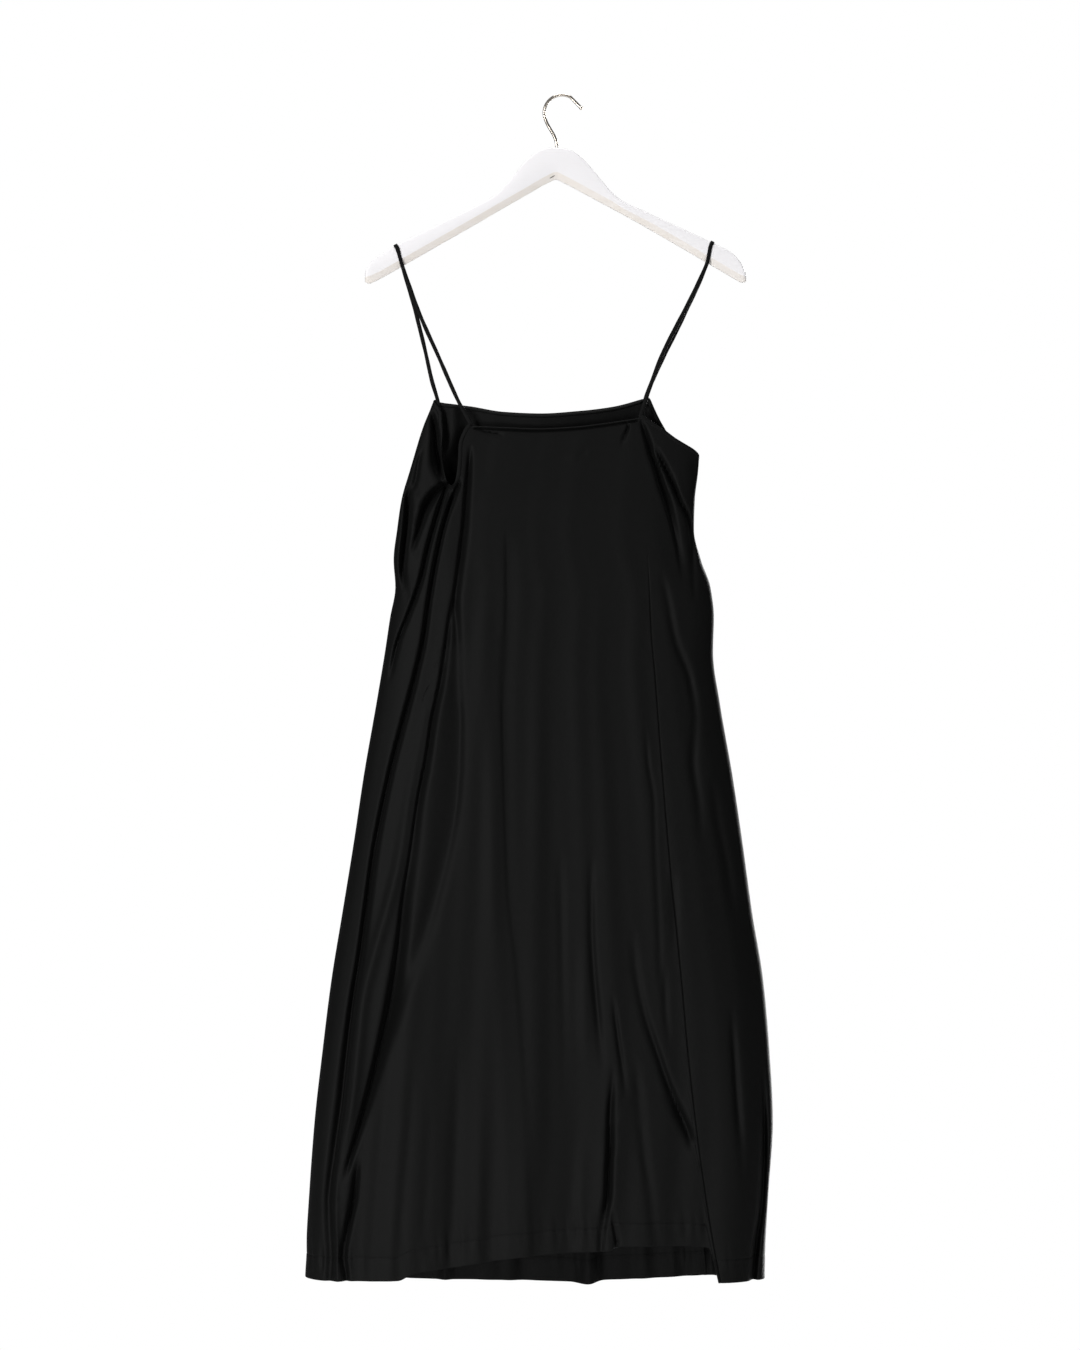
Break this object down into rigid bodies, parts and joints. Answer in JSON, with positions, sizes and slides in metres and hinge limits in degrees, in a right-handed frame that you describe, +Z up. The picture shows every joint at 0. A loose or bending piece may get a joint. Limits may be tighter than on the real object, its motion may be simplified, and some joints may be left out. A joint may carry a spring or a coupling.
{
  "type": "slip dress on a hanger",
  "caption": "Sleeveless A-line slip dress in black cloth with thin straps, hanging in long soft folds from a flat white wooden hanger with a wire hook.",
  "frame": {"origin": "inner top of the hook, where a rail or peg carries the hanger", "axes": "+Z up, the front of the dress looks along -Y, +X to the right seen from the front"},
  "size_m": [0.5382, 0.1336, 1.3676],
  "materials": {
    "cloth": "black crepe, matt with a faint sheen",
    "trim": "black self-fabric strip, matt",
    "hanger_paint": "flat wood, painted white, satin",
    "hook_metal": "polished nickel wire"
  },
  "bodies": {
    "root": {"front_panel": "cloth", "side_panel_right": "cloth", "back_panel": "cloth", "side_panel_left": "cloth", "armhole_binding_right": "trim", "armhole_binding_left": "trim", "strap_left": "trim", "strap_right": "trim", "hanger": "hanger_paint", "hook": "hook_metal"}
  },
  "joints": []
}
